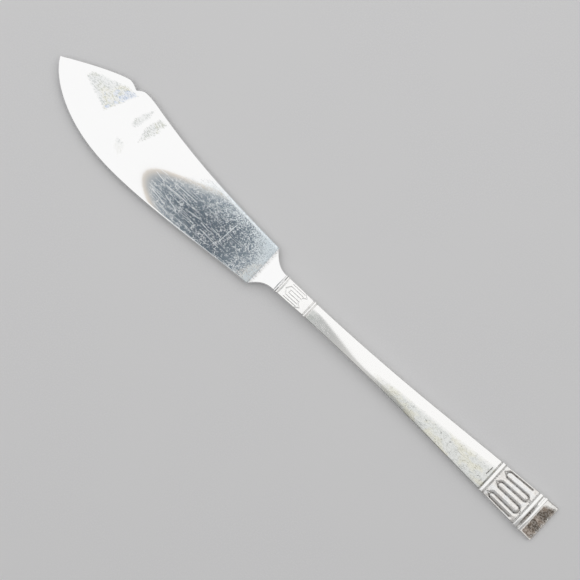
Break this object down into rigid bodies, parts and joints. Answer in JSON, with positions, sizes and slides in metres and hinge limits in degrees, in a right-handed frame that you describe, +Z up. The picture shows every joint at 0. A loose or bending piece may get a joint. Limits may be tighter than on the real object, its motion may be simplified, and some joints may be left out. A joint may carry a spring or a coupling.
{
  "type": "butter knife",
  "caption": "Silver-plated butter knife: paddle blade with a humped and notched back, slim solid handle with rounded meander panels between reeded bands.",
  "frame": {"origin": "on the table, under the middle of the knife's box", "axes": "+X along the handle's axis towards the tip, +Y towards the cutting edge, +Z up through the ornamented front"},
  "size_m": [0.1838, 0.0226, 0.0038],
  "materials": {
    "blade_silver": "polished",
    "handle_silver": "polished",
    "solder_grey": "matte"
  },
  "bodies": {
    "root": {"blade": "blade_silver", "handle": "handle_silver", "tang_solder": "solder_grey"}
  },
  "joints": []
}
